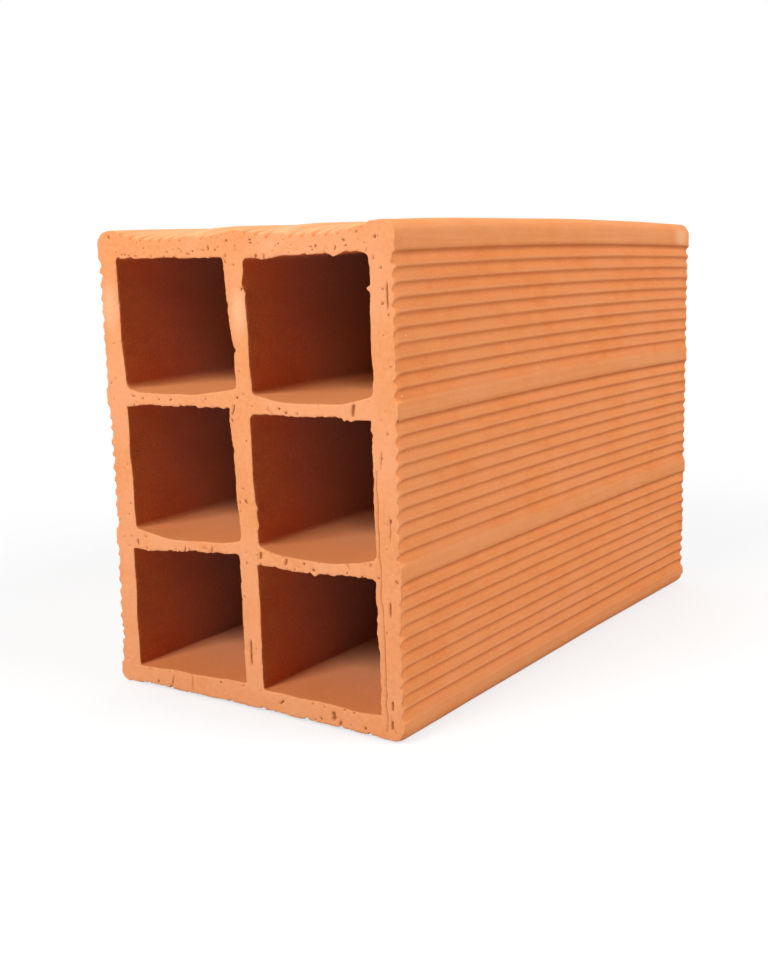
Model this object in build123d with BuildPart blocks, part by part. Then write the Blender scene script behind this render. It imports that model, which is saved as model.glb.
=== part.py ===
from build123d import *
import os

# Perforated clay brick, pressed through a die along Y and cut to length by wires.
# Millimetres, +Z up, origin at the centre of the bed it stands on.

# Overall size of the fired brick
brick_width = 107.0
brick_height = 140.0
brick_length = 200.0
corner_radius = 4.0

# Six cells that run the whole length, two across and three high, and the clay between them
cell_columns = 2
cell_rows = 3
side_wall = 8.2
middle_web = 6.5
floor_wall = 7.0
roof_wall = 9.0
level_web = 6.3

# The level webs sag on their upper face while the clay is wet, and the die rounds the corners
web_sag = 2.6
ceiling_radius = 1.2
sagged_floor_radius = 1.8
flat_floor_radius = 0.8

# Flutes that key the mortar, in groups with flat bands between them
flute_pitch = 3.9
flute_depth = 1.0
ridge_width = 1.2
crest_drop = 0.5
flat_band = 4.2
corner_band = 8.2
bed_groups = 3
side_group_lift = 0.3

# Cells, from the walls and webs that leave room for them
cell_width = (brick_width - 2 * side_wall - (cell_columns - 1) * middle_web) / cell_columns
cell_height = (brick_height - floor_wall - roof_wall - (cell_rows - 1) * level_web) / cell_rows
column_spacing = cell_width + middle_web
row_spacing = cell_height + level_web
row_centres = [floor_wall + cell_height / 2 + row * row_spacing for row in range(cell_rows)]

# Flute groups: one beside each row of cells on the sides, and bed_groups across each bed
side_flutes = int((row_spacing - flat_band) // flute_pitch)
side_centres = [centre + side_group_lift for centre in row_centres]
bed_spacing = (brick_width - 2 * corner_band + flat_band) / bed_groups
bed_flutes = int((bed_spacing - flat_band) // flute_pitch)
bed_centres = [brick_width / 2 + (group - (bed_groups - 1) / 2) * bed_spacing for group in range(bed_groups)]


def fluted_side(corner, along, length, centres, flutes):
    """Draw one side of the section from a corner, anticlockwise round the brick.

    A group is a wave of wide hollow arcs and narrow ridge arcs, tangent where they meet.
    Its ridges stay crest_drop below the flat bands. The last line reaches the next corner.
    """
    inward = along.rotate(Axis.Z, 90)
    half_ridge = ridge_width / 2
    half_hollow = (flute_pitch - ridge_width) / 2
    crest = crest_drop
    meeting = crest_drop + flute_depth * ridge_width / flute_pitch
    hollow = crest_drop + flute_depth

    def at(distance, depth):
        return corner + along * distance + inward * depth

    band_start = 0.0
    for centre in centres:
        group_start = centre - flutes * flute_pitch / 2
        Polyline(at(band_start, 0), at(group_start, 0), at(group_start + half_ridge, meeting))
        for flute in range(flutes):
            bottom = group_start + (flute + 0.5) * flute_pitch
            hollow_start, hollow_end = bottom - half_hollow, bottom + half_hollow
            ThreePointArc(at(hollow_start, meeting), at(bottom, hollow), at(hollow_end, meeting))
            if flute < flutes - 1:
                top = bottom + flute_pitch / 2
                ridge_end = top + half_ridge
                ThreePointArc(at(hollow_end, meeting), at(top, crest), at(ridge_end, meeting))
        band_start = group_start + flutes * flute_pitch
        Line(at(band_start - half_ridge, meeting), at(band_start, 0))
    Line(at(band_start, 0), at(length, 0))


# A cell of the lowest row, whose floor lies flat. Both cells are drawn up from their floor.
with BuildSketch() as flat_cell:
    Rectangle(cell_width, cell_height, align=(Align.CENTER, Align.MIN))
    fillet(flat_cell.vertices().group_by(Axis.Y)[-1], radius=ceiling_radius)
    fillet(flat_cell.vertices().group_by(Axis.Y)[0], radius=flat_floor_radius)

# A cell over a level web, whose floor has sagged into an arc
with BuildSketch() as sagged_cell:
    with BuildLine():
        Polyline(
            (-cell_width / 2, 0),
            (-cell_width / 2, cell_height),
            (cell_width / 2, cell_height),
            (cell_width / 2, 0),
        )
        ThreePointArc((cell_width / 2, 0), (0, -web_sag), (-cell_width / 2, 0))
    make_face()
    fillet(sagged_cell.vertices().group_by(Axis.Y)[-1], radius=ceiling_radius)
    fillet(sagged_cell.vertices().group_by(Axis.Y)[0], radius=sagged_floor_radius)

# The brick: the fluted section less its cells, drawn out both ways along Y
with BuildPart() as brick:
    with BuildSketch(Plane.XZ) as section:
        half_width = brick_width / 2
        with BuildLine():
            fluted_side(Vector(-half_width, 0), Vector(1, 0), brick_width, bed_centres, bed_flutes)
            fluted_side(Vector(half_width, 0), Vector(0, 1), brick_height, side_centres, side_flutes)
            fluted_side(
                Vector(half_width, brick_height), Vector(-1, 0), brick_width, bed_centres, bed_flutes
            )
            fluted_side(
                Vector(-half_width, brick_height),
                Vector(0, -1),
                brick_height,
                [brick_height - centre for centre in reversed(side_centres)],
                side_flutes,
            )
        make_face()
        fillet(section.vertices().sort_by_distance((0, brick_height / 2))[-4:], radius=corner_radius)
        for row, centre in enumerate(row_centres):
            cell = flat_cell if row == 0 else sagged_cell
            with Locations((0, centre - cell_height / 2)):
                with GridLocations(column_spacing, 0, cell_columns, 1):
                    add(cell.sketch, mode=Mode.SUBTRACT)
    extrude(amount=brick_length / 2, both=True)

brick.part.label = "brick"

os.makedirs("parts", exist_ok=True)
export_step(brick.part, "parts/brick.step")
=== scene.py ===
import math
import bpy
import numpy as np
from mathutils import Matrix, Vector
from mathutils.geometry import delaunay_2d_cdt


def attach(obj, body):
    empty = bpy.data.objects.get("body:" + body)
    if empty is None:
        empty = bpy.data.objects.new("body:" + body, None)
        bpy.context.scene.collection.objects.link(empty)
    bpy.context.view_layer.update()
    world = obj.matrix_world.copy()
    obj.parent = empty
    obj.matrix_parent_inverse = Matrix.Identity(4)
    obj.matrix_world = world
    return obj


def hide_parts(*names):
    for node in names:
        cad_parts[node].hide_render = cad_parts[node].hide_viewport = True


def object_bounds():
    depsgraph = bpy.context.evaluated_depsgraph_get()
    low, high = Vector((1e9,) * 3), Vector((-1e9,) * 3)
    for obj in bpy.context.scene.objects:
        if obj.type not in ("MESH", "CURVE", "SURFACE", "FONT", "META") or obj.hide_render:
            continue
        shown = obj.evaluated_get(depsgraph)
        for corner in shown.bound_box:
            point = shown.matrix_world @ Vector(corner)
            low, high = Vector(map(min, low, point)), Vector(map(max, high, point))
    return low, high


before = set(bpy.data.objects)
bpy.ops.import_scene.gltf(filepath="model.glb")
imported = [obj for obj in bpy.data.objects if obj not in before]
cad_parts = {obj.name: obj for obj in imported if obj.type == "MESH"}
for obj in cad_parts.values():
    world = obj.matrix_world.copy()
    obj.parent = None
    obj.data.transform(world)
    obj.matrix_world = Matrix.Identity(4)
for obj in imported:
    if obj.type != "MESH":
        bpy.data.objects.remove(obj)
cad_low, cad_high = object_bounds()

# The setting: a normal lens close to the brick and a little lower than its top, which sees its
# front end and its right side. The brick stands on a pale bench under four soft boxes.
MM = 0.001
LENS_MM = 47.40
CAMERA_AT_MM = (232.2, -366.8, 129.2)
CAMERA_AZIMUTH = 34.55
CAMERA_PITCH = -9.995
CAMERA_ROLL = -1.3

camera_data = bpy.data.cameras.new("camera")
camera_data.lens = LENS_MM
camera_data.sensor_width = 36.0
camera = bpy.data.objects.new("camera", camera_data)
bpy.context.collection.objects.link(camera)
camera.matrix_world = (
    Matrix.Translation([c * MM for c in CAMERA_AT_MM])
    @ Matrix.Rotation(math.radians(CAMERA_AZIMUTH), 4, "Z")
    @ Matrix.Rotation(math.radians(90 + CAMERA_PITCH), 4, "X")
    @ Matrix.Rotation(math.radians(CAMERA_ROLL), 4, "Z")
)
bpy.context.scene.camera = camera
bpy.context.scene.view_settings.view_transform = "Standard"

# Soft boxes round the brick: degrees from straight in front towards its right, degrees up from the
# bench, distance and width in metres, and watts
SOFT_BOXES = {
    "front_box": (-7.5, 36, 1.0, 0.36, 8.3),
    "right_box": (100, 36.5, 1.4, 0.6, 15.4),
    "left_box": (-100, 35, 1.5, 0.8, 6.0),
    "back_box": (200, 50, 1.5, 0.9, 6.0),
}
AIM_HEIGHT = 0.07

for name, (heading, rise, distance, width, watts) in SOFT_BOXES.items():
    heading, rise = math.radians(heading), math.radians(rise)
    lamp_data = bpy.data.lights.new(name, "AREA")
    lamp_data.size = width
    lamp_data.energy = watts
    lamp = bpy.data.objects.new(name, lamp_data)
    bpy.context.collection.objects.link(lamp)
    lamp.matrix_world = (
        Matrix.Translation((0, 0, AIM_HEIGHT))
        @ Matrix.Rotation(heading, 4, "Z")
        @ Matrix.Rotation(math.pi / 2 - rise, 4, "X")
        @ Matrix.Translation((0, 0, distance))
    )


def new_tree(owner):
    """Turn on an owner's shader nodes, empty them, and return the nodes and the links."""
    owner.use_nodes = True
    owner.node_tree.nodes.clear()
    return owner.node_tree.nodes, owner.node_tree.links


def add(kind, sockets=(), **properties):
    """Add a shader node to the open tree: its properties, then its sockets, as values or as outputs."""
    made = nodes.new("ShaderNode" + kind)
    for key, value in properties.items():
        setattr(made, key, value)
    for key, value in dict(sockets).items():
        if isinstance(value, bpy.types.NodeSocket):
            links.new(value, made.inputs[key])
        else:
            made.inputs[key].default_value = value
    return made


def maths(operation, first, second=0.0):
    """One Math node's output."""
    return add("Math", {0: first, 1: second}, operation=operation).outputs[0]


def between(value, low, high, start=0.0, end=1.0):
    """A value turned from low..high to start..end, smoothly and without going past them."""
    return add(
        "MapRange",
        {"Value": value, "From Min": low, "From Max": high, "To Min": start, "To Max": end},
        interpolation_type="SMOOTHSTEP",
    ).outputs[0]


def seen_directly():
    """1 for camera rays and for what a gloss or a glass shows, and 0 for light on the brick."""
    ray = add("LightPath").outputs
    gloss = maths("MAXIMUM", ray["Is Camera Ray"], ray["Is Glossy Ray"])
    return maths("MAXIMUM", gloss, ray["Is Transmission Ray"])


# World: weak even light, and plain white where the camera looks past the bench
AMBIENT = 0.03
WHITE = (1.0, 1.0, 1.0, 1.0)
world = bpy.data.worlds.new("studio")
bpy.context.scene.world = world
nodes, links = new_tree(world)
dim = add("Background", {"Color": WHITE, "Strength": AMBIENT}).outputs[0]
white = add("Background", {"Color": WHITE, "Strength": 1.0}).outputs[0]
sky = add("MixShader", {0: seen_directly(), 1: dim, 2: white}).outputs[0]
add("OutputWorld", {"Surface": sky})

# Bench: a round pale sheet that keeps the brick's soft shadow near by, and fades to plain white
# away from it
BENCH_RADIUS = 1.5
BENCH_CORNERS = 96
BENCH_GREY = (0.50, 0.50, 0.50, 1.0)
BENCH_PALE = (0.9, 0.9, 0.9, 1.0)
SHADOW_SHARE = 0.3
SHADOW_NEAR, SHADOW_FAR = 0.16, 0.42
turn = np.linspace(0, 2 * np.pi, BENCH_CORNERS, endpoint=False)
rim = BENCH_RADIUS * np.stack([np.cos(turn), np.sin(turn), np.zeros(BENCH_CORNERS)], 1)
bench_mesh = bpy.data.meshes.new("bench")
bench_mesh.from_pydata(rim.tolist(), [], [list(range(BENCH_CORNERS))])
bench = bpy.data.objects.new("bench", bench_mesh)
bpy.context.collection.objects.link(bench)
bench_paint = bpy.data.materials.new("bench_white")
nodes, links = new_tree(bench_paint)
away = add("VectorMath", {0: add("TexCoord").outputs["Object"]}, operation="LENGTH").outputs["Value"]
shaded = between(away, SHADOW_NEAR, SHADOW_FAR, SHADOW_SHARE, 0.0)
glow = add("Emission", {"Color": WHITE, "Strength": 1.0}).outputs[0]
pale = add("BsdfDiffuse", {"Color": BENCH_PALE}).outputs[0]
grey = add("BsdfDiffuse", {"Color": BENCH_GREY}).outputs[0]
shown = add("MixShader", {0: shaded, 1: glow, 2: pale}).outputs[0]
sheet = add("MixShader", {0: seen_directly(), 1: grey, 2: shown}).outputs[0]
add("OutputMaterial", {"Surface": sheet})
bench_mesh.materials.append(bench_paint)

# The brick: one column of wet clay pressed through a die, cut by wires at both ends and fired.
# The die gives the outside its flutes and flat bands, and its six cores leave the cells.
# Everything is worked out in the section's own millimetres, X across and Z up, as the CAD has it.
WIDTH = (cad_high[0] - cad_low[0]) / MM
LENGTH = (cad_high[1] - cad_low[1]) / MM
HEIGHT = (cad_high[2] - cad_low[2]) / MM
CORNER = 4.0
SIDE_WALL = 8.2
MIDDLE_WEB = 6.5
FLOOR_WALL = 7.0
ROOF_WALL = 9.0
LEVEL_WEB = 6.3
FLUTE_PITCH = 3.9
FLUTE_DEPTH = 1.0
RIDGE_WIDTH = 1.2
CREST_DROP = 0.5
SIDE_FLUTES = 10
BED_FLUTES = 7
BED_SPACING = 31.6
SIDE_LIFT = 0.3

half_length = LENGTH / 2
cell_width = (WIDTH - 2 * SIDE_WALL - MIDDLE_WEB) / 2
cell_height = (HEIGHT - FLOOR_WALL - ROOF_WALL - 2 * LEVEL_WEB) / 3
row_centres = FLOOR_WALL + cell_height / 2 + (cell_height + LEVEL_WEB) * np.arange(3)
column_centres = (cell_width + MIDDLE_WEB) * np.array([-0.5, 0.5])


def smooth(share):
    """A share from 0 to 1, held there outside, with level starts: 3 s^2 - 2 s^3."""
    held = np.clip(share, 0, 1)
    return held * held * (3 - 2 * held)


def waves(points, size, seed, count=14):
    """Smooth noise of about -1 to 1 at each point.

    It is the sum of sine waves of random heading and phase, divided by the root of half their
    number. Their lengths are 0.6 to 1.6 times the size, which is in millimetres.
    """
    draw = np.random.default_rng(seed)
    heading = draw.normal(size=(points.shape[1], count))
    heading /= np.linalg.norm(heading, axis=0)
    steps = 2 * np.pi / (size * draw.uniform(0.6, 1.6, count))
    phase = draw.uniform(0, 2 * np.pi, count)
    return np.sin(points @ (heading * steps) + phase).sum(1) / math.sqrt(count / 2)


def ragged(distance, around, step, seed):
    """Torn noise along a closed edge: random heights every step, joined by straight lines."""
    draw = np.random.default_rng(seed)
    knots = np.sort(draw.uniform(0, around, max(4, int(round(around / step)))))
    return np.interp(distance, knots, draw.normal(size=len(knots)), period=around)


def nicks(distance, around, apart, seed):
    """Depth, from 0 to 1, of sharp notches along a closed edge, about apart millimetres apart.

    Each is a triangle that is 0.3 to 1 deep and reaches 0.4 to 1.2 mm to either side.
    """
    draw = np.random.default_rng(seed)
    count = int(around / apart)
    middle = draw.uniform(0, around, count)
    reach = draw.uniform(0.4, 1.2, count)
    deep = draw.uniform(0.3, 1.0, count)
    away = np.abs((distance[:, None] - middle + around / 2) % around - around / 2)
    return (deep * np.clip(1 - away / reach, 0, 1)).max(1)


def marks_on(place, marks):
    """Height of the marks at each place of an edge: each is its height times a bell of its width."""
    height = np.zeros(len(place))
    for x, z, half_width, stands in marks:
        away = np.hypot(place[:, 0] - x, place[:, 1] - z) / half_width
        height += stands * np.exp(-away**2)
    return height


def run_length(place):
    """Distance of each place along a closed outline, and the length all round."""
    step = np.linalg.norm(np.roll(place, -1, 0) - place, axis=1)
    return np.concatenate([[0], np.cumsum(step)[:-1]]), step.sum()


# Where a flute's outline has its points, in mm from the middle of a ridge, and how many steps a flat
# band and how many points a round corner has
FLUTE_STEPS = np.array([0.0, 0.3, 0.6, 1.05, 1.5, 1.95, 2.4, 2.85, 3.3, 3.6])
BAND_STEPS = 4
CORNER_POINTS = 7


def arc_fall(away, half_width):
    """How far an arc falls from its middle, when it spans half_width to either side.

    Ridge and hollow arcs meet at the same slope, twice the arctangent of the depth over half the
    pitch, so the radius is the half width over the sine of that slope.
    """
    radius = half_width / math.sin(2 * math.atan(2 * FLUTE_DEPTH / FLUTE_PITCH))
    return radius - np.sqrt(radius**2 - np.minimum(away, half_width) ** 2)


def flute_hollow(distance):
    """Depth under the crests, from 0 to 1, at each distance from a ridge's middle.

    A narrow ridge arc and a wide hollow arc take turns.
    """
    along = distance % FLUTE_PITCH
    from_ridge = np.minimum(along, FLUTE_PITCH - along)
    half_ridge, half_hollow = RIDGE_WIDTH / 2, (FLUTE_PITCH - RIDGE_WIDTH) / 2
    ridge = arc_fall(from_ridge, half_ridge)
    hollow = FLUTE_DEPTH - arc_fall(FLUTE_PITCH / 2 - from_ridge, half_hollow)
    return np.where(from_ridge < half_ridge, ridge, hollow) / FLUTE_DEPTH


def side_profile(length, centres, flutes):
    """Distance along one side, the crest's drop and the hollow from 0 to 1, between corner arcs.

    Within a group the drop fades in and out over half a ridge.
    """
    start = centres - flutes * FLUTE_PITCH / 2
    end = centres + flutes * FLUTE_PITCH / 2
    distances = [np.linspace(CORNER, start[0], BAND_STEPS, endpoint=False)]
    drops, hollows = [np.zeros(BAND_STEPS)], [np.zeros(BAND_STEPS)]
    inside = (np.arange(flutes)[:, None] * FLUTE_PITCH + FLUTE_STEPS).ravel()
    inside = np.append(inside, flutes * FLUTE_PITCH)
    for index in range(len(centres)):
        distances.append(start[index] + inside)
        drops.append(np.clip(np.minimum(inside, inside[-1] - inside) / (RIDGE_WIDTH / 2), 0, 1))
        hollows.append(flute_hollow(inside))
        band_end = start[index + 1] if index + 1 < len(centres) else length - CORNER
        distances.append(np.linspace(end[index], band_end, BAND_STEPS + 1)[1:-1])
        drops.append(np.zeros(BAND_STEPS - 1))
        hollows.append(np.zeros(BAND_STEPS - 1))
    return np.concatenate(distances), np.concatenate(drops), np.concatenate(hollows)


# The bed, the right side, the top and the left side: the corner that each starts from, in half
# widths and whole heights, and the way it runs
SIDE_STARTS = ((-1, 0), (1, 0), (1, 1), (-1, 1))
SIDE_RUNS = ((1, 0), (0, 1), (-1, 0), (0, -1))


def outer_outline():
    """The outside of the section, anticlockwise: the flat outline's places and outward normals,
    the crest's drop, the hollow, and which side each place is on: bed, right, top or left.

    Each side is a straight line, and each corner is a quarter circle.
    """
    side_centres = row_centres + SIDE_LIFT
    bed_centres = WIDTH / 2 + BED_SPACING * np.array([-1.0, 0.0, 1.0])
    flutes = (BED_FLUTES, SIDE_FLUTES, BED_FLUTES, SIDE_FLUTES)
    centres = (bed_centres, side_centres, bed_centres, HEIGHT - side_centres[::-1])
    columns = []
    for side in range(4):
        corner = np.array(SIDE_STARTS[side]) * (WIDTH / 2, HEIGHT)
        along = np.array(SIDE_RUNS[side], float)
        outward = np.array([along[1], -along[0]])
        length = abs(along @ (WIDTH, HEIGHT))
        distance, drop, hollow = side_profile(length, centres[side], flutes[side])
        turn = np.linspace(0, np.pi / 2, CORNER_POINTS, endpoint=False)
        spoke = np.cos(turn)[:, None] * outward + np.sin(turn)[:, None] * along
        arc = corner + (length - CORNER) * along - CORNER * outward + CORNER * spoke
        place = np.concatenate([corner + distance[:, None] * along, arc])
        normal = np.concatenate([np.tile(outward, (len(distance), 1)), spoke])
        extra = np.zeros(len(turn))
        columns.append(np.column_stack([
            place, normal, np.append(drop, extra), np.append(hollow, extra), np.full(len(place), side)
        ]))
    whole = np.concatenate(columns)
    return whole[:, :2], whole[:, 2:4], whole[:, 4], whole[:, 5], whole[:, 6].astype(int)


# How far each cell is out of true, in mm, by its row from the floor up and its column from the left:
# the lean of its left and right walls from floor to ceiling, how much its ceiling and floor rise to
# the right, the shift of its left and right walls to the right, how far its left wall bows out to
# the left, its floor's sag, the lift of its ceiling, and the radii of its corners: floor right,
# ceiling right, ceiling left and floor left
CELL_SHAPES = {
    (0, 0): (-0.4, -1.0, 3.05, 1.6, 0.2, 0.85, 0.0, 0.0, 1.25, (0.6, 1.0, 0.5, 0.6)),
    (0, 1): (-0.6, -1.4, 0.75, 0.2, 1.2, 0.0, 0.0, 0.0, 0.45, (0.7, 1.0, 0.6, 0.7)),
    (1, 0): (-0.8, -2.2, 1.5, 0.8, 0.95, 0.25, 0.0, 1.85, 1.1, (1.0, 1.0, 0.8, 1.5)),
    (1, 1): (-1.3, -0.6, 0.65, 0.9, 0.85, -0.3, 0.2, 2.65, 0.5, (0.8, 0.8, 1.8, 1.0)),
    (2, 0): (-1.35, -3.2, -0.1, 1.9, 0.45, 0.5, 0.5, 1.5, 0.4, (1.4, 0.8, 0.5, 1.9)),
    (2, 1): (-1.2, -0.5, 0.8, 1.2, 0.7, -0.05, 0.2, 2.2, 0.2, (1.2, 2.0, 1.0, 1.2)),
}
SAG_POWER = 2.4
RIM_SPACING = 0.46


def cell_outline(row, column):
    """One cell's rim, anticlockwise: places, and normals that point out of the clay.

    It is a rectangle with round corners. Its walls lean, the left one bows as a parabola, its
    ceiling and floor tilt, its ceiling is lifted, and its floor hangs by the sag times one less a
    power of the distance from its middle, less and less over the lowest third of the cell.
    """
    left_lean, right_lean, ceiling_rise, floor_rise, *others = CELL_SHAPES[row, column]
    left_shift, right_shift, bow, sag, lift, radii = others
    half_wide, half_high = cell_width / 2, cell_height / 2
    signs = ((1, -1), (1, 1), (-1, 1), (-1, -1))
    corners = [
        (np.array([a * (half_wide - radius), b * (half_high - radius)]), radius)
        for (a, b), radius in zip(signs, radii)
    ]
    places, normals = [], []
    for index, (centre, radius) in enumerate(corners):
        turn = np.linspace(0, np.pi / 2, CORNER_POINTS) + (index - 1) * np.pi / 2
        spoke = np.stack([np.cos(turn), np.sin(turn)], 1)
        places.append(centre + radius * spoke)
        normals.append(-spoke)
        next_centre, next_radius = corners[(index + 1) % 4]
        start, end = places[-1][-1], next_centre + next_radius * spoke[-1]
        count = int(round(np.linalg.norm(end - start) / RIM_SPACING))
        share = np.arange(1, count)[:, None] / count
        places.append(start + share * (end - start))
        normals.append(np.tile(-spoke[-1], (count - 1, 1)))
    place, normal = np.concatenate(places), np.concatenate(normals)
    across = place[:, 0] / cell_width + 0.5
    up = place[:, 1] / cell_height + 0.5
    lean = left_lean + (right_lean - left_lean) * across
    rise = floor_rise + (ceiling_rise - floor_rise) * up
    shift = left_shift + (right_shift - left_shift) * across
    place[:, 0] += shift + lean * (up - 0.5) - bow * (1 - (2 * up - 1) ** 2) * (1 - across)
    place[:, 1] += rise * (across - 0.5) + lift * up
    hang = 1 - np.abs(2 * across - 1) ** SAG_POWER
    place[:, 1] -= sag * hang * np.clip(1 - 3 * up, 0, 1)
    place += (column_centres[column], row_centres[row])
    return place, normal


# Places where the wire or a knock left its mark on the front rim of a cell: X and Z of the
# middle, half its width, and how far the clay stands into the cell, or is missing if negative
FRONT_RIM_MARKS = [
    (-3.4, 90.0, 1.1, -1.2),
    (-2.4, 105.5, 0.8, -0.9),
    (-4.0, 102.0, 0.7, -0.7),
    (-3.9, 104.0, 0.8, 0.5),
    (2.8, 124.0, 1.5, -0.7),
    (3.8, 121.2, 0.8, 0.5),
    (45.2, 122.5, 0.6, 1.0),
    (38.5, 131.0, 4.0, -0.5),
    (34.0, 131.0, 1.8, 0.8),
    (38.0, 88.0, 1.2, 0.7),
    (36.0, 88.0, 0.5, 1.1),
    (44.4, 84.2, 0.9, -0.6),
    (-6.3, 88.5, 1.0, 0.6),
    (-5.1, 88.8, 0.4, -0.9),
    (-43.8, 89.0, 0.5, -0.8),
    (-44.6, 131.6, 0.5, -0.7),
    (24.5, 44.0, 0.9, 1.5),
    (21.0, 44.0, 1.2, 0.6),
    (44.0, 85.5, 0.7, 0.8),
    (44.2, 44.0, 1.0, -0.5),
    (3.4, 44.6, 1.6, -0.7),
    (-46.0, 98.0, 0.6, 0.5),
    (-40.0, 131.0, 1.2, -0.6),
    (10.0, 131.0, 1.6, 0.5),
    (4.2, 56.0, 1.2, 0.6),
    (4.4, 61.0, 0.7, 0.6),
    (-2.1, 73.7, 0.5, -0.7),
    (-3.0, 17.0, 1.0, 0.7),
]
# How torn a rim is anywhere, how much more so under a ceiling and on a right wall, and the burr that
# hangs under a ceiling. Then the height of the fine and the coarse tears and their steps along the
# rim, and how deep the nicks are and how far apart.
TORN, TORN_CEILING, TORN_RIGHT = 0.22, 0.8, 0.45
BURR = 0.1
FINE_TEAR, FINE_STEP = 0.13, 1.1
COARSE_TEAR, COARSE_STEP = 0.2, 4.2
NICK, NICKS_APART = 0.45, 9.0


def torn_rim(place, normal, marks, seed):
    """How far a cell's rim stands into the cell.

    The wire came down and to the right through the clay, so it pushed burrs in under each ceiling
    and on each right wall, and left the other rims clean. The height is how torn the rim is, times
    its tears and burr, less the nicks, plus the marks.
    """
    distance, around = run_length(place)
    ceiling = np.clip(-normal[:, 1], 0, 1)
    torn = TORN + TORN_CEILING * ceiling + TORN_RIGHT * np.clip(-normal[:, 0], 0, 1)
    rough = FINE_TEAR * ragged(distance, around, FINE_STEP, seed)
    rough += COARSE_TEAR * ragged(distance, around, COARSE_STEP, seed + 1)
    notch = NICK * torn * nicks(distance, around, NICKS_APART, seed + 2)
    return torn * (rough + BURR * ceiling) - notch + marks_on(place, marks)


def push(grid, normal, amount):
    """Move the points of a skin in place: each by its amount along its outline's normal."""
    grid[:, :, 0] += normal[:, 0] * amount
    grid[:, :, 2] += normal[:, 1] * amount


def skin(place, normal, stations, offset):
    """Carry a section outline along Y: a grid of points, one ring for each station.

    A point is its place in the outline, moved along its normal by the offset of its ring.
    """
    grid = np.empty((len(stations), len(place), 3))
    grid[:, :, 0] = place[:, 0]
    grid[:, :, 1] = stations[:, None]
    grid[:, :, 2] = place[:, 1]
    push(grid, normal, offset)
    return grid


def die_waves(grid, size, squeeze, seed):
    """Slow waves of a skin, a value for each point: noise in X, Z and Y times the squeeze."""
    return waves(grid.reshape(-1, 3) * (1, squeeze, 1), size, seed).reshape(grid.shape[:2])


def ring_quads(first, rings, around, outside):
    """Faces between neighbouring rings of a grid whose first point has that number.

    Both kinds of outline run anticlockwise, so the outside's faces are turned round to face out.
    """
    ring = first + around * np.arange(rings - 1)[:, None]
    here = np.arange(around)[None, :]
    there = (here + 1) % around
    quads = np.stack([ring + here, ring + there, ring + around + there, ring + around + here], -1)
    quads = quads.reshape(-1, 4)
    return quads[:, ::-1] if outside else quads


def both_ends(near_end):
    """Stations along Y at those distances from either end, and one in the middle."""
    near_end = np.array(near_end)
    return np.concatenate([near_end - half_length, [0.0], (half_length - near_end)[::-1]])


def end_fades(stations, reach):
    """How near each station is to the front end, and how near to the back end.

    Each is exp(-(distance / reach)^2), with a row for each station and a column for each reach.
    """
    front = np.exp(-(((stations[:, None] + half_length) / reach) ** 2))
    back = np.exp(-(((stations[:, None] - half_length) / reach) ** 2))
    return front, back


# Outside: at each end the wire smeared clay into the hollows, which leaves narrow notches, and
# pressed the ridges down. Where a value has four parts, they are for the bed, the right side, the
# top and the left side, and where it has two rows, for the front end and the back end.
OUTER_STATIONS = both_ends([0.0, 0.13, 0.4, 0.8, 1.3, 2.0, 3.2, 5.0, 8.0, 13.0, 20.0, 34.0, 54.0, 76.0])
# How far the hollows are smeared shut, how much that varies along the edge and in what steps, and
# how far in the smear reaches
END_FILL = ((0.93, 0.5, 0.0, 0.45), (0.9, 0.5, 0.3, 0.5))
END_VARIES = (0.08, 0.2, 0.08, 0.2)
END_VARIES_STEP = 2.6
SMEAR_REACHES = (1.7, 1.7, 5.0, 1.7)
# How sharp the notches are, and how low the ridges end
NOTCH_POWERS = (3.0, 1.6, 5.0, 1.5)
END_DROPS = ((0.1, 0.3, 0.5, 0.45), (0.1, 0.3, 0.5, 0.5))
# The edge's own tears and nicks, and the most that a tear may stand out
EDGE_TEAR, EDGE_NICK, EDGE_PROUD = 0.08, 0.25, 0.1
# Each edge at a cut is a little rounded, and the bed's are rubbed off
ROUNDED_EDGE, ROUNDED_REACH = 0.14, 0.16
BED_EDGE, BED_EDGE_REACH = 0.4, 1.2
# The slow waves of the outside: height, size, squeeze along the die, and the most they stand out
OUTER_WAVE, OUTER_WAVE_SIZE, OUTER_SQUEEZE, OUTER_PROUD = 0.06, 9.0, 0.25, 0.1
# Painted shade, dark red, lies in the roof's hollows, and narrowly in the notches at its ends, and
# under the sides' ridges, where the slope is steepest. The roof's ridges are painted paler.
ROOF_HOLLOW_SHADE, ROOF_SHADE_POWER, NOTCH_SHADE_POWER = 0.6, 3, 7
UNDER_RIDGE_SHADE, STEEPEST = 0.42, 1.2
ROOF_RIDGES_PALE = 0.45
# Knocks on the front edge of the outside, as on the cells' rims
FRONT_EDGE_MARKS = [
    (-52.0, 139.2, 1.8, -0.6),
    (-53.5, 127.4, 0.6, -0.8),
    (-53.5, 80.4, 0.6, -0.8),
    (-53.5, 72.2, 0.6, -0.6),
    (-53.5, 53.3, 0.5, -0.7),
    (-53.5, 41.0, 0.5, -0.7),
    (-53.5, 17.9, 0.7, -1.2),
    (-53.5, 14.8, 0.9, -1.4),
    (-41.8, 0.0, 0.5, -0.5),
    (-32.1, 0.0, 0.6, -0.9),
    (-24.9, 0.0, 0.5, -0.5),
    (-8.3, 0.0, 0.5, -0.5),
    (4.2, 0.0, 0.5, -0.5),
    (7.8, 0.0, 0.4, -0.4),
    (20.0, 0.0, 0.7, -0.7),
    (32.0, 0.0, 0.6, -0.5),
    (41.8, 0.0, 0.5, -0.8),
    (53.5, 133.8, 0.5, -0.5),
    (53.5, 131.8, 0.5, -0.5),
    (53.5, 129.1, 0.7, -0.8),
    (53.5, 88.0, 0.7, -0.6),
    (53.5, 52.0, 0.7, -0.5),
]
place, normal, drop, hollow, side = outer_outline()
on_bed, on_roof, upright = side == 0, side == 2, side % 2 == 1
distance, around = run_length(place)
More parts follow.
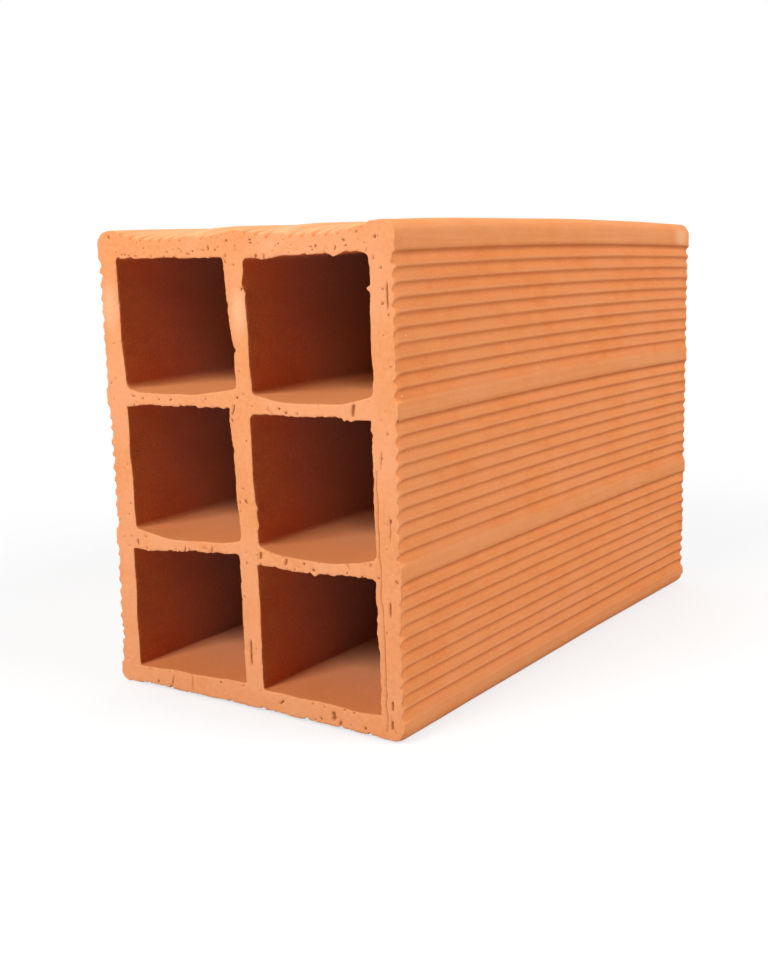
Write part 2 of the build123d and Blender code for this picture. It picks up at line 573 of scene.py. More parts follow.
depth = CREST_DROP * drop + FLUTE_DEPTH * hollow
offset = np.tile(-depth, (len(OUTER_STATIONS), 1))
hollow_grid = np.tile(hollow, (len(OUTER_STATIONS), 1))
edge_marks = (marks_on(place, FRONT_EDGE_MARKS), 0.0)
across_hollow = np.roll(hollow, -1) - np.roll(hollow, 1)
climb = np.roll(place[:, 1], -1) - np.roll(place[:, 1], 1)
under_ridge = np.clip(-across_hollow / np.where(upright, climb, 1.0) / STEEPEST, 0, 1)
# Painted shade, dark red, in the roof's hollows and notches and under the sides' ridges
roof_shade = ROOF_HOLLOW_SHADE * hollow**ROOF_SHADE_POWER
notch_shade = ROOF_HOLLOW_SHADE * hollow**NOTCH_SHADE_POWER
painted_shade = np.where(on_roof, roof_shade, UNDER_RIDGE_SHADE * under_ridge**2 * upright)
painted_shade_grid = np.tile(painted_shade, (len(OUTER_STATIONS), 1))
# The roof's ridges are painted paler
roof_ridges_pale = np.tile(ROOF_RIDGES_PALE * (1 - hollow**2) * on_roof, (len(OUTER_STATIONS), 1))
for end, fade in enumerate(end_fades(OUTER_STATIONS, np.array(SMEAR_REACHES)[side])):
    varies = np.array(END_VARIES)[side] * ragged(distance, around, END_VARIES_STEP, 40 + end)
    fill = np.clip(np.array(END_FILL[end])[side] + varies, 0, 1)
    notch = FLUTE_DEPTH * hollow ** np.array(NOTCH_POWERS)[side]
    at_cut = np.array(END_DROPS[end])[side] * drop + (1 - fill) * notch
    tear = EDGE_TEAR * ragged(distance, around, FINE_STEP, 50 + end)
    tear -= EDGE_NICK * nicks(distance, around, NICKS_APART, 54 + end)
    offset += fade * (depth - at_cut + np.minimum(tear, EDGE_PROUD) + edge_marks[end])
    hollow_grid -= fade * hollow * fill
    painted_shade_grid += fade * (1 - fill) * (notch_shade - roof_shade) * on_roof
for fade in end_fades(OUTER_STATIONS, ROUNDED_REACH):
    offset -= fade * ROUNDED_EDGE
for fade in end_fades(OUTER_STATIONS, BED_EDGE_REACH):
    offset -= fade * BED_EDGE * on_bed
outer = skin(place, normal, OUTER_STATIONS, offset)
wave = OUTER_WAVE * die_waves(outer, OUTER_WAVE_SIZE, OUTER_SQUEEZE, 61)
push(outer, normal, np.minimum(wave, OUTER_PROUD) - OUTER_PROUD)

# Cells: smooth inside, with torn rims. A burr reaches a little way in. Clay that the wire pulled out
# leaves a gap that reaches further in, and furthest into a ceiling.
CELL_STATIONS = both_ends([0.0, 0.16, 0.5, 1.1, 2.4, 6.0, 14.0, 40.0])
BURR_REACH = 1.0
GAP_REACH, CEILING_GAP_REACH = 2.0, 10.0
RIM_ROUNDED_REACH = 0.2
CELL_WAVE, CELL_WAVE_SIZE, CELL_SQUEEZE = 0.12, 14.0, 0.3
# How strong the painted sheen on the floors is, from the lowest row of cells up
ROW_SHEEN = (0.5, 0.72, 0.97)
cells, floor_sheen = [], []
for row in range(3):
    for column in range(2):
        place, normal = cell_outline(row, column)
        offset = np.zeros((len(CELL_STATIONS), len(place)))
        seed = 100 + 10 * (2 * row + column)
        gap_reach = GAP_REACH + CEILING_GAP_REACH * np.clip(-normal[:, 1], 0, 1)
        burr_fades = end_fades(CELL_STATIONS, BURR_REACH)
        gap_fades = end_fades(CELL_STATIONS, gap_reach)
        for end, marks in enumerate((FRONT_RIM_MARKS, [])):
            stands = torn_rim(place, normal, marks, seed + 5 * end)
            offset += burr_fades[end] * np.maximum(stands, 0)
            offset += gap_fades[end] * np.minimum(stands, 0)
        for fade in end_fades(CELL_STATIONS, RIM_ROUNDED_REACH):
            offset -= fade * ROUNDED_EDGE
        cell = skin(place, normal, CELL_STATIONS, offset)
        push(cell, normal, CELL_WAVE * die_waves(cell, CELL_WAVE_SIZE, CELL_SQUEEZE, 62))
        cells.append(cell)
        # Painted sheen on the floors, stronger in the upper rows
        floor_sheen.append(np.tile(ROW_SHEEN[row] * np.clip(normal[:, 1], 0, 1), len(CELL_STATIONS)))

# Cut faces: flat, with pits where the wire plucked grit out, slits and a long drying crack.
# Each mark is X, Z, half its length, half its width, its lean from upright in degrees and its depth.
FRONT_MARKS = [
    (50.7, 120.5, 3.4, 0.24, 0, 0.6),
    (49.2, 118.6, 0.4, 0.25, 0, 0.5),
    (47.65, 77.8, 2.3, 0.12, 4, 0.5),
    (50.1, 59.1, 3.2, 0.12, 0, 0.4),
    (50.3, 61.6, 0.6, 0.3, 0, 0.6),
    (49.5, 37.4, 1.9, 0.25, 0, 0.7),
    (49.65, 10.4, 1.3, 0.3, 2, 0.7),
    (49.4, 5.0, 1.3, 0.35, 0, 0.7),
    (53.0, 88.5, 0.6, 0.35, 20, 0.6),
    (53.2, 53.5, 0.7, 0.25, -40, 0.5),
    (51.8, 45.8, 0.5, 0.3, -30, 0.5),
    (44.6, 69.5, 1.0, 0.12, 25, 0.4),
    (-48.3, 137.9, 0.35, 0.3, 0, 0.5),
    (-9.35, 134.6, 1.1, 0.25, 0, 0.6),
    (-6.8, 133.7, 0.5, 0.2, 10, 0.5),
    (-15.0, 133.7, 0.3, 0.25, 0, 0.5),
    (-19.4, 133.9, 0.25, 0.2, 0, 0.4),
    (-40.1, 132.5, 0.3, 0.2, 30, 0.4),
    (-37.5, 132.4, 0.3, 0.2, 30, 0.4),
    (-17.3, 132.5, 0.3, 0.2, 0, 0.4),
    (-16.4, 132.4, 0.3, 0.2, -30, 0.4),
    (-11.0, 133.8, 0.3, 0.2, 0, 0.3),
    (-2.4, 136.5, 0.4, 0.25, 15, 0.5),
    (2.2, 122.4, 0.5, 0.4, 20, 0.7),
    (-3.1, 131.7, 0.5, 0.3, 20, 0.4),
    (-3.4, 130.2, 0.6, 0.2, 0, 0.4),
    (-0.2, 129.1, 0.3, 0.25, 0, 0.4),
    (6.0, 137.0, 0.3, 0.4, 0, 0.5),
    (6.2, 135.9, 0.35, 0.4, 0, 0.5),
    (7.9, 131.4, 0.5, 0.4, 0, 0.5),
    (15.8, 136.0, 0.5, 0.2, 30, 0.4),
    (28.35, 134.4, 0.7, 0.2, 0, 0.5),
    (26.75, 134.0, 0.4, 0.2, 0, 0.4),
    (34.6, 133.4, 1.0, 0.2, 15, 0.5),
    (24.7, 131.3, 0.6, 0.25, 0, 0.4),
    (37.3, 136.1, 0.7, 0.25, -40, 0.5),
    (47.3, 135.5, 0.5, 0.3, 0, 0.6),
    (48.3, 135.6, 0.4, 0.15, 0, 0.4),
    (48.9, 127.6, 0.5, 0.2, 10, 0.4),
    (-2.6, 88.6, 1.6, 0.2, 17, 0.6),
    (-1.1, 92.1, 0.4, 0.35, 30, 0.6),
    (13.8, 89.7, 0.3, 0.4, 0, 0.6),
    (16.2, 88.8, 0.35, 0.4, 0, 0.5),
    (9.9, 89.6, 0.9, 0.15, 0, 0.3),
    (39.0, 90.6, 1.7, 0.45, 10, 0.7),
    (-42.0, 91.0, 0.25, 0.8, 10, 0.4),
    (-38.0, 90.3, 0.25, 0.4, 0, 0.4),
    (-31.5, 90.4, 0.3, 0.3, 30, 0.4),
    (-27.0, 90.3, 0.25, 0.35, 40, 0.4),
    (-43.5, 46.5, 0.35, 0.3, 40, 0.6),
    (-24.2, 45.3, 1.2, 0.2, 12, 0.5),
    (-22.3, 45.2, 1.1, 0.22, 8, 0.5),
    (-13.6, 46.3, 1.4, 0.22, 18, 0.5),
    (5.2, 47.2, 1.1, 0.5, 15, 0.7),
    (14.4, 46.4, 1.2, 0.3, 20, 0.5),
    (20.8, 46.6, 0.4, 0.3, 0, 0.5),
    (24.0, 45.2, 0.3, 0.6, 0, 0.5),
    (36.0, 47.9, 0.8, 0.2, -30, 0.4),
    (40.5, 45.2, 0.5, 0.4, 30, 0.6),
    (-0.3, 66.0, 0.4, 0.25, 0, 0.4),
    (0.6, 62.5, 0.7, 0.3, -30, 0.5),
    (0.3, 17.5, 3.6, 0.32, 0, 0.8),
    (-31.6, 2.6, 2.2, 0.2, 12, 0.5),
    (-23.2, 3.8, 2.6, 0.12, 0, 0.4),
    (-23.7, 6.8, 0.35, 0.3, 0, 0.5),
    (-12.0, 6.1, 0.35, 0.3, 0, 0.5),
    (11.2, 4.1, 0.9, 0.25, 45, 0.6),
    (29.6, 3.4, 1.3, 0.5, 5, 0.9),
    (32.0, 1.9, 0.8, 0.3, 30, 0.6),
    (26.5, 5.6, 0.3, 0.25, 0, 0.4),
    (33.5, 6.2, 0.3, 0.25, 0, 0.4),
    (36.6, 5.9, 0.3, 0.3, 0, 0.4),
    (40.5, 2.2, 0.4, 0.35, 0, 0.5),
]
# Pores: how many on each cut face, the share of them close above a ceiling, and how far from it
PORE_COUNT = 330
PORES_LOW, PORES_NEAR = 0.35, 2.5
# The drying crack, which wanders a little, and the hairline that starts from it
CRACK = np.array([
    (46.0, 74.6), (46.2, 66.7), (46.6, 50.6), (46.9, 39.8), (47.4, 28.8), (47.7, 14.9), (47.8, 2.8)
])
CRACK_WIDTH = 0.13
CRACK_DEPTH = 0.4
HAIRLINE = np.array([(48.3, 61.2), (50.5, 60.4), (52.3, 59.0)])
HAIRLINE_SHARE = 0.6
# How far the crack wanders, and how far the outlines of the pits are bent: the most in mm, the length
# of the waves across and upright, and a seed
CRACK_WANDER = (0.1, 7.0, 9.0, 75)
PIT_BEND = (0.05, 2.2, 2.2, 77)
# The swells of a cut face: height and length in mm, and how much longer they are upright. Then the
# depth that they lie round.
CUT_SWELLS = ((0.05, 30.0, 1), (0.03, 4.0, 2), (0.02, 1.8, 1))
CUT_REST = 0.12


def mark_axes(lean):
    """Unit vectors along and across a mark that leans from upright by that many degrees."""
    tilt = math.radians(lean)
    return np.array([math.sin(tilt), math.cos(tilt)]), np.array([math.cos(tilt), -math.sin(tilt)])


def mark_depth(flat, marks):
    """Depth of the pits and slits at each place.

    Each is its depth times exp(-a^4 - b^4), where a and b are the distances along and across it
    over its half length and half width, so that it has a flat bottom and steep sides.
    """
    depth = np.zeros(len(flat))
    for x, z, half_long, half_wide, lean, deep in marks:
        along, aside = mark_axes(lean)
        away = flat - (x, z)
        steep = (away @ along / half_long) ** 4 + (away @ aside / half_wide) ** 4
        depth = np.maximum(depth, deep * np.exp(-steep))
    return depth


def pores(end):
    """Marks for the pores all over a cut face.

    Half widths are 0.09 mm and more, most of them small, by a gamma distribution. The pores are up
    to 2.4 times as long as wide, lean up to 35 degrees and are 0.15 to 0.5 mm deep.
    """
    draw = np.random.default_rng(80 + end)
    half_wide = draw.gamma(2.0, 0.045, PORE_COUNT) + 0.09
    anywhere = draw.uniform(0, HEIGHT, PORE_COUNT)
    ceiling = row_centres[draw.integers(0, 3, PORE_COUNT)] + cell_height / 2
    is_low = draw.uniform(size=PORE_COUNT) < PORES_LOW
    over_ceiling = ceiling + np.abs(draw.normal(0, PORES_NEAR, PORE_COUNT))
    across = draw.uniform(-WIDTH / 2, WIDTH / 2, PORE_COUNT)
    half_long = half_wide * draw.uniform(1.0, 2.4, PORE_COUNT)
    lean = draw.uniform(-35, 35, PORE_COUNT)
    deep = draw.uniform(0.15, 0.5, PORE_COUNT)
    return list(zip(across, np.where(is_low, over_ceiling, anywhere), half_long, half_wide, lean, deep))


face_marks = [FRONT_MARKS + pores(0), pores(1)]


def path_distance(flat, path):
    """Least distance from each place to the straight runs of a path."""
    nearest = np.full(len(flat), np.inf)
    for start, end in zip(path[:-1], path[1:]):
        run = end - start
        share = np.clip((flat - start) @ run / (run @ run), 0, 1)
        nearest = np.minimum(nearest, np.linalg.norm(flat - start - share[:, None] * run, axis=1))
    return nearest


def wander(flat, most, across_size, up_size, seed):
    """A small move sideways and up at each place: the most, times two slow noises."""
    return most * np.stack([waves(flat, across_size, seed), waves(flat, up_size, seed + 1)], 1)


def cut_relief(flat, end):
    """How deep a cut face lies below its highest places, and how much of that is a pit or a crack.

    The depth is the slow swells, plus the pits and slits, plus the cracks on the front end (0).
    """
    swell = np.full(len(flat), CUT_REST)
    for index, (high, long, upright_long) in enumerate(CUT_SWELLS):
        swell += high * waves(flat / (1, upright_long), long, 70 + 2 * index + end)
    pit = mark_depth(flat + wander(flat, *PIT_BEND), face_marks[end])
    if end == 0:
        wandered = flat + wander(flat, *CRACK_WANDER)
        crack = np.exp(-((path_distance(wandered, CRACK) / CRACK_WIDTH) ** 2))
        hairline = np.exp(-((path_distance(wandered, HAIRLINE) / CRACK_WIDTH) ** 2))
        pit = np.maximum(pit, CRACK_DEPTH * np.maximum(crack, HAIRLINE_SHARE * hairline))
    return np.maximum(swell, 0) + pit, pit


def along_path(path, step):
    """Places every step along a path."""
    reach = np.concatenate([[0], np.cumsum(np.linalg.norm(np.diff(path, axis=0), axis=1))])
    at = np.arange(0, reach[-1], step)
    return np.stack([np.interp(at, reach, path[:, 0]), np.interp(at, reach, path[:, 1])], 1)


# Points of a cut face: how far apart the front's and the back's are, how far each is jittered as a
# share of that, the step along cracks and slits, the lines along a slit in half widths, the lines
# along a crack, the ovals round a pit as shares of its half sizes with a count for each, and how far
# all stay from a rim. The distances are worked out in batches, to save memory.
FACE_SPACING = (0.66, 0.8)
JITTER = 0.3
PATH_STEP = 0.3
SLIT_LINES = (-1.5, -0.6, 0.6, 1.5)
CRACK_LINES = ((0.0, 0.0), (0.16, 0.1), (-0.16, -0.1))
PIT_OVALS = ((0.0, 1), (0.65, 5), (1.35, 8))
CLEAR_OF_RIM = 0.2
BATCHES = 24


def face_points(rings, end):
    """Places for a cut face's own vertices: a jittered grid, and closer ones at the marks and cracks.

    A mark over three times as long as wide is a slit, with lines along it, and any other has ovals.
    Points too near to a rim are left out.
    """
    draw = np.random.default_rng(90 + end)
    spacing = FACE_SPACING[end]
    across = np.arange(-WIDTH / 2, WIDTH / 2, spacing)
    up = np.arange(0, HEIGHT, spacing)
    grid = np.stack(np.meshgrid(across, up), -1).reshape(-1, 2)
    grid += draw.uniform(-JITTER, JITTER, grid.shape) * spacing
    rows = [grid]
    for x, z, half_long, half_wide, lean, _ in face_marks[end]:
        along, aside = mark_axes(lean)
        if half_long > 3 * half_wide:
            line = np.arange(-1.1, 1.11, PATH_STEP / half_long)[:, None] * half_long * along + (x, z)
            rows += [line + share * half_wide * aside for share in SLIT_LINES]
            continue
        for size, count in PIT_OVALS:
            turn = 2 * np.pi * np.arange(count) / count + draw.uniform(0, 6)
            long_way, wide_way = np.cos(turn)[:, None] * along, np.sin(turn)[:, None] * aside
            rows.append(size * (long_way * half_long + wide_way * half_wide) + (x, z))
    if end == 0:
        for path in (CRACK, HAIRLINE):
            line = along_path(path, PATH_STEP)
            line -= wander(line, *CRACK_WANDER)
            rows += [line + beside for beside in CRACK_LINES]
    flat = np.concatenate(rows)
    edge = np.concatenate(rings).astype(np.float32)
    clear = np.concatenate([
        np.hypot(part[:, None, 0] - edge[:, 0], part[:, None, 1] - edge[:, 1]).min(1)
        for part in np.array_split(flat.astype(np.float32), BATCHES)
    ])
    return flat[clear > CLEAR_OF_RIM]


# The kind of net that keeps what lies inside a loop and outside the loops in it, and how near, in
# mm, two points are one
INSIDE_WITH_HOLES, SAME_PLACE = 2, 1e-5


def close_end(end, numbers):
    """Triangles over one end, between the outer ring and the cells' rings.

    numbers holds each ring's vertex numbers. New vertices are returned, and the triangles are
    those of a Delaunay net that lie inside the outer ring and outside the cells.
    """
    rings = [vertices[ring][:, [0, 2]] for ring in numbers]
    own = face_points(rings, end)
    flat = np.concatenate(rings + [own])
    loops, first = [], 0
    for ring in rings:
        loops.append(list(range(first, first + len(ring))))
        first += len(ring)
    result = delaunay_2d_cdt(flat.tolist(), [], loops, INSIDE_WITH_HOLES, SAME_PLACE)
    triangles, origin = np.array(result[2]), result[3]
    assert all(origin), "rims cross each other"
    first_origin = np.array([sources[0] for sources in origin])
    y = (half_length if end else -half_length) * np.ones(len(own))
    number = np.concatenate(list(numbers) + [len(vertices) + np.arange(len(own))])
    triangles = number[first_origin[triangles]]
    corner = np.concatenate([vertices[:, [0, 2]], own])[triangles]
    one, two = corner[:, 1] - corner[:, 0], corner[:, 2] - corner[:, 0]
    anticlockwise = one[:, 0] * two[:, 1] - one[:, 1] * two[:, 0] > 0
    wrong = anticlockwise if end else ~anticlockwise
    triangles[wrong] = triangles[wrong][:, ::-1]
    return np.stack([own[:, 0], y, own[:, 1]], 1), triangles


grids = [outer] + cells
counts = [grid.shape[0] * grid.shape[1] for grid in grids]
firsts = np.concatenate([[0], np.cumsum(counts)[:-1]])
vertices = np.concatenate([grid.reshape(-1, 3) for grid in grids])
in_cells = np.zeros(len(vertices) - hollow_grid.size)
painted = {
    "hollow": np.concatenate([hollow_grid.ravel(), in_cells]),
    "painted_shade": np.concatenate([painted_shade_grid.ravel(), in_cells]),
    "inside": np.concatenate([np.zeros(hollow_grid.size), in_cells + 1]),
    "pale_and_sheen": np.concatenate([roof_ridges_pale.ravel()] + floor_sheen),
}
quads = np.concatenate([
    ring_quads(first, grid.shape[0], grid.shape[1], outside=index == 0)
    for index, (first, grid) in enumerate(zip(firsts, grids))
])
triangles = []
for end in (0, 1):
    ring_numbers = [
        first + (grid.shape[0] - 1) * grid.shape[1] * end + np.arange(grid.shape[1])
        for first, grid in zip(firsts, grids)
    ]
    own, net = close_end(end, ring_numbers)
    vertices = np.concatenate([vertices, own])
    painted = {name: np.append(values, np.zeros(len(own))) for name, values in painted.items()}
    triangles.append(net)
triangles = np.concatenate(triangles)
used = np.zeros(len(vertices), bool)
used[quads] = True
used[triangles] = True
renumber = np.cumsum(used) - 1
vertices = vertices[used]
painted = {name: values[used] for name, values in painted.items()}
quads, triangles = renumber[quads], renumber[triangles]

# The cut faces' own relief also moves the skin close behind it, less and less, so that it stays
# in order. A pit as deep as PIT_FULL has the whole of its painted shade.
RELIEF_REACH, RELIEF_ENDS = 1.6, 8.0
PIT_FULL = 0.5
ON_FACE = 1e-6
# How far in from its ends a cell is red, before the painted shade deep inside
MOUTH_REACH = 30.0
cut, pits = np.zeros(len(vertices)), np.zeros(len(vertices))
for end, outward in ((0, -1.0), (1, 1.0)):
    behind = half_length - outward * vertices[:, 1]
    near = behind < RELIEF_ENDS
    depth, pit = cut_relief(vertices[near][:, [0, 2]], end)
    fade = np.exp(-behind[near] / RELIEF_REACH)
    vertices[near, 1] -= outward * depth * fade
    cut[near] = behind[near] < ON_FACE
    pits[near] = np.clip(pit / PIT_FULL, 0, 1) * cut[near]
painted["cut_face"], painted["pit"] = cut, pits
painted["inside"] *= 1 - cut
painted["mouth"] = np.exp(-(((half_length - np.abs(vertices[:, 1])) / MOUTH_REACH) ** 2))


def sets_in(value, start, over):
    """0 up to the start, and from there rising smoothly to 1 over that many millimetres."""
    return smooth((value - start) / over)


# A knock rolled the front end of the top left band round: how far back, how far along the brick it
# reaches, and where it starts and over how much, outwards, upwards and down from the top
ROLLED, ROLLED_REACH = 0.3, 1.6
ROLLED_OUT, ROLLED_UP, ROLLED_DOWN = (50.3, 3.2), (128.5, 2.5), (-140.0, 4.0)
x, y, z = vertices.T
band_end = sets_in(z, *ROLLED_UP) * sets_in(-z, *ROLLED_DOWN)
rolled = ROLLED * sets_in(-x, *ROLLED_OUT) * band_end
vertices[:, 1] += rolled * np.exp(-(y + half_length) / ROLLED_REACH)

# The wires dragged the flutes' ends down, and pressed the roof down over the cells. The whole
# brick bowed as it dried: its top and bottom arch up along the length, its lower edge also across
# the width, and its left side is hollow at half height.
# The drag at the front, its reach and its share at the back. It sets in near the sides' skins, and
# away from the bed and the top.
DRAG, DRAG_REACH, DRAG_BACK = 0.7, 1.3, 0.6
DRAG_OUT, DRAG_ENDS = (50.5, 1.5), (0.0, 8.0)
# The press, in the same way. It sets in up the roof and in from the sides, and the middle web holds
# most of it off.
PRESS, PRESS_REACH, PRESS_BACK = 2.45, 7.0, 0.6
PRESS_UP, PRESS_IN = (131.5, 7.5), (-48.0, 16.0)
WEB_HOLDS, WEB_REACH = 0.67, 8.0
# How high the bed and the top arch along the length, and the bed's arch across and its reach up
BOW_BELOW, BOW_ABOVE = 0.35, 1.2
ARCH, ARCH_REACH = 0.45, 12.0
# How far the left side is drawn in at half height, less and less to the right. Then the hollow of
# its own skin: how deep, how high up, its reach up and down, and where it sets in.
WAIST = 0.6
HOLLOW_SIDE, HOLLOW_HEIGHT, HOLLOW_REACH, HOLLOW_OUT = 0.6, 57.0, 32.0, (45.5, 7.0)
# What is left free at either side
SIDE_SLACK = 0.06
x, y, z = vertices.T
height = z / HEIGHT
along = 1 - (y / half_length) ** 2
across = 1 - (2 * x / WIDTH) ** 2
from_front, from_back = y + half_length, half_length - y
settled = z * (1 - BOW_ABOVE / HEIGHT)
settled += (BOW_BELOW + (BOW_ABOVE - BOW_BELOW) * height) * along
settled += ARCH * across * np.exp(-z / ARCH_REACH)
on_sides = sets_in(np.abs(x), *DRAG_OUT) * sets_in(z, *DRAG_ENDS) * sets_in(HEIGHT - z, *DRAG_ENDS)
dragged = np.exp(-from_front / DRAG_REACH) + DRAG_BACK * np.exp(-from_back / DRAG_REACH)
settled -= DRAG * on_sides * dragged
over_cells = sets_in(-np.abs(x), *PRESS_IN) * (1 - WEB_HOLDS * np.exp(-((x / WEB_REACH) ** 2)))
pressed = np.exp(-from_front / PRESS_REACH) + PRESS_BACK * np.exp(-from_back / PRESS_REACH)
settled -= PRESS * over_cells * pressed * sets_in(z, *PRESS_UP)
drawn_in = WAIST * (1 - (2 * height - 1) ** 2) * (0.5 - x / WIDTH)
side_bell = np.exp(-(((z - HOLLOW_HEIGHT) / HOLLOW_REACH) ** 2))
drawn_in += HOLLOW_SIDE * side_bell * sets_in(-x, *HOLLOW_OUT)
vertices[:, 0] = x * (1 - 2 * SIDE_SLACK / WIDTH) + drawn_in
vertices[:, 2] = np.clip(settled, 0, HEIGHT)

brick_mesh = bpy.data.meshes.new("fired_brick")
brick_mesh.from_pydata((vertices * MM).tolist(), [], quads.tolist() + triangles.tolist())
for name, values in painted.items():
    brick_mesh.attributes.new(name, "FLOAT", "POINT").data.foreach_set("value", values)
brick_mesh.shade_smooth()
brick_mesh.validate()
brick = bpy.data.objects.new("fired_brick", brick_mesh)
bpy.context.collection.objects.link(brick)

# Fired clay: dull orange, streaked along the die on the outside and paler where the wire cut it. It
# is red in the cells' mouths, with painted shade on steep or hollow places, deep inside and in pores,
# painted sheen on the cells' floors, paler roof ridges, lime and iron specks and a little bloom.
# The outside: its clay, redder blotches, rosy patches, paler crests and the dark red of painted shade
SIDE_CLAY = (0.79, 0.275, 0.085, 1.0)
SIDE_RED = (0.76, 0.245, 0.07, 1.0)
SIDE_ROSE = (0.79, 0.29, 0.108, 1.0)
CREST_CLAY = (0.82, 0.335, 0.138, 1.0)
SHADE_RED = (0.62, 0.10, 0.016, 1.0)
# The cut faces: their clay, and its deeper and paler grains
CUT_CLAY = (0.91, 0.35, 0.142, 1.0)
CUT_DEEP = (0.87, 0.315, 0.115, 1.0)
CUT_PALE = (0.92, 0.39, 0.18, 1.0)
# The cells: their mouths, with redder blotches, and the darker painted shade deep inside
MOUTH_CLAY = (0.67, 0.152, 0.037, 1.0)
MOUTH_RED = (0.63, 0.138, 0.033, 1.0)
DEEP_SHADE = (0.40, 0.225, 0.18, 1.0)
# On all of it: painted sheen on the cells' floors, brick flour, bloom, painted shade in pores, specks
FLOOR_SHEEN = (0.88, 0.33, 0.115, 1.0)
FLOUR = (0.93, 0.50, 0.27, 1.0)
BLOOM_WHITE = (0.93, 0.54, 0.31, 1.0)
PORE_SHADE = (0.38, 0.11, 0.038, 1.0)
LIME = (0.95, 0.62, 0.42, 1.0)
IRON = (0.40, 0.12, 0.04, 1.0)

clay = bpy.data.materials.new("fired_clay")
nodes, links = new_tree(clay)
place_mm = add("Mapping", {0: add("TexCoord").outputs["Object"], "Scale": (1 / MM,) * 3}).outputs[0]


def attribute(name):
    """A vertex attribute's value."""
    return add("Attribute", attribute_name=name).outputs["Fac"]


def grain(size, stretch=(1, 1, 1), detail=2.0, roughness=0.5):
    """Noise from 0 to 1 whose lumps are about size millimetres, times the stretch along X, Y and Z."""
    scaled = add("Mapping", {0: place_mm, "Scale": tuple(1 / (size * s) for s in stretch)}).outputs[0]
    return add(
        "TexNoise", {"Vector": scaled, "Scale": 1.0, "Detail": detail, "Roughness": roughness}
    ).outputs["Fac"]


def colour_mix(share, first, second):
    """A colour that share of the way from the first to the second."""
    return add("Mix", {0: share, 6: first, 7: second}, data_type="RGBA").outputs[2]


def specks(size, apart, seed):
    """1 inside round specks, up to size mm in radius, at random points about apart mm apart.

    The distance to the nearest point is divided by a radius that differs at each point, and half of
    the points have none.
    """
    scale = (1 / apart,) * 3
    shifted = add("Mapping", {0: place_mm, "Location": (seed,) * 3, "Scale": scale}).outputs[0]
    found = add("TexVoronoi", {"Vector": shifted, "Scale": 1.0, "Randomness": 1.0}).outputs
    chance = add("SeparateColor", {0: found["Color"]}).outputs[0]
    radius = between(chance, 0.55, 1.0, 0.0, size / apart)
    share = maths("DIVIDE", found["Distance"], maths("MAXIMUM", radius, 1e-4))
    return between(share, 1.0, 0.6)


def patch(centre, reach):
    """1 at the centre, falling to 0 over the reach in millimetres along X, Y and Z."""
    offset_mm = add("VectorMath", {0: place_mm, 1: centre}, operation="SUBTRACT").outputs[0]
    scaled = add("VectorMath", {0: offset_mm, 1: reach}, operation="DIVIDE").outputs[0]
    return between(add("VectorMath", {0: scaled}, operation="LENGTH").outputs["Value"], 1.0, 0.1)


is_cut = attribute("cut_face")
die_streaks = grain(1.1, (1, 40, 1), 3.0)
wire_streaks = grain(0.8, (1, 1, 12), 3.0)
patches = grain(22, detail=3.0)
blotches = grain(4.5, (1, 2.2, 1), 3.0)
fine = grain(0.55, detail=4.0, roughness=0.7)
sand = grain(1.3, detail=4.0, roughness=0.65)

# Outside: blotches and patches of the clay, crests paler in streaks, painted shade in the roof's
# hollows and under the sides' ridges, and paler roof ridges
outside = colour_mix(between(blotches, 0.36, 0.64), SIDE_RED, SIDE_CLAY)
outside = colour_mix(between(patches, 0.35, 0.7, 0.0, 0.8), outside, SIDE_ROSE)
crests = maths("SUBTRACT", 1.0, attribute("hollow"))
pale_crests = maths("MULTIPLY", maths("MULTIPLY", crests, crests), between(die_streaks, 0.3, 0.75, 0.1, 0.5))
outside = colour_mix(pale_crests, outside, CREST_CLAY)
outside = colour_mix(attribute("painted_shade"), outside, SHADE_RED)
outside = colour_mix(attribute("pale_and_sheen"), outside, FLOUR)

# Cut faces: grains of sand, paler patches and the wire's streaks
sawn = colour_mix(between(sand, 0.36, 0.64), CUT_DEEP, CUT_CLAY)
sawn = colour_mix(between(patches, 0.35, 0.68, 0.0, 0.8), sawn, CUT_PALE)
sawn = colour_mix(between(wire_streaks, 0.5, 0.8, 0.0, 0.2), sawn, CUT_PALE)

# Cells: red at the mouth, painted shade deep inside, and painted sheen on the floor
lining = colour_mix(between(blotches, 0.36, 0.64), MOUTH_RED, MOUTH_CLAY)
lining = colour_mix(attribute("mouth"), DEEP_SHADE, lining)
lining = colour_mix(attribute("pale_and_sheen"), lining, FLOOR_SHEEN)

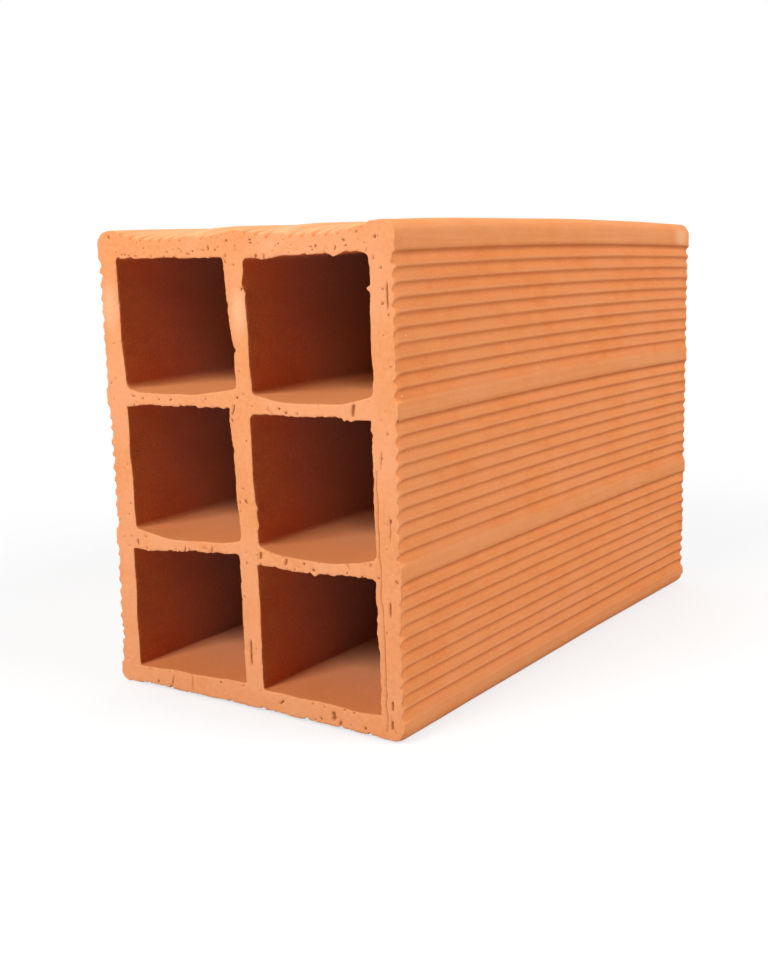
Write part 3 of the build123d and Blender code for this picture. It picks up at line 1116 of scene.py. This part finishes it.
# Pale bloom of salts and two flecks of dried slip: the middle and the reach of each, in mm, and how
# strong it is
BLOOMS = [
    ((-49.3, -100, 116.5), (5.5, 1.5, 11.0), 0.7),
    ((1.0, -100, 115.5), (4.0, 1.5, 9.0), 0.8),
    ((12.3, -100, 133.0), (5.0, 1.5, 2.6), 0.2),
    ((53.5, -93.9, 7.6), (1.5, 1.1, 0.9), 1.0),
    ((53.5, -98.2, 12.4), (1.5, 0.8, 0.7), 1.0),
    ((53.5, 92, 134), (4.0, 9.0, 5.0), 0.6),
]

# All of it, with the bloom, brick flour in its grain, specks, and painted shade in the pits
body = colour_mix(is_cut, outside, sawn)
body = colour_mix(attribute("inside"), body, lining)
for centre, reach, strength in BLOOMS:
    share = maths("MULTIPLY", patch(centre, reach), between(fine, 0.3, 0.6, 0.5 * strength, strength))
    body = colour_mix(share, body, BLOOM_WHITE)
body = colour_mix(between(fine, 0.45, 0.75, 0.0, 0.26), body, FLOUR)
lime_specks = specks(0.36, 6.5, 3.0)
iron_specks = specks(0.36, 6.0, 11.0)
body = colour_mix(maths("MULTIPLY", lime_specks, 0.5), body, LIME)
body = colour_mix(maths("MULTIPLY", iron_specks, 0.5), body, IRON)
body = colour_mix(between(attribute("pit"), 0.12, 0.8, 0.0, 0.85), body, PORE_SHADE)

# Relief too fine for the mesh: the sum of the patterns, each times its height in mm
streaks = add("Mix", {0: is_cut, 2: die_streaks, 3: wire_streaks}, data_type="FLOAT").outputs[0]
sawn_sand = maths("MULTIPLY", sand, is_cut)
relief = maths("MULTIPLY", fine, 0.09)
for pattern, rises in (
    (streaks, 0.03),
    (blotches, 0.08),
    (sawn_sand, 0.12),
    (iron_specks, -0.10),
    (lime_specks, 0.03),
):
    relief = maths("ADD", relief, maths("MULTIPLY", pattern, rises))
bump = add("Bump", {"Height": relief, "Distance": MM, "Strength": 1.0}).outputs[0]

shader = add(
    "BsdfPrincipled",
    {
        "Base Color": body,
        "Roughness": between(fine, 0.3, 0.7, 0.88, 0.98),
        "Specular IOR Level": 0.12,
        "Normal": bump,
    },
).outputs[0]
add("OutputMaterial", {"Surface": shader})
brick_mesh.materials.append(clay)
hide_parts("brick")
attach(brick, "root")
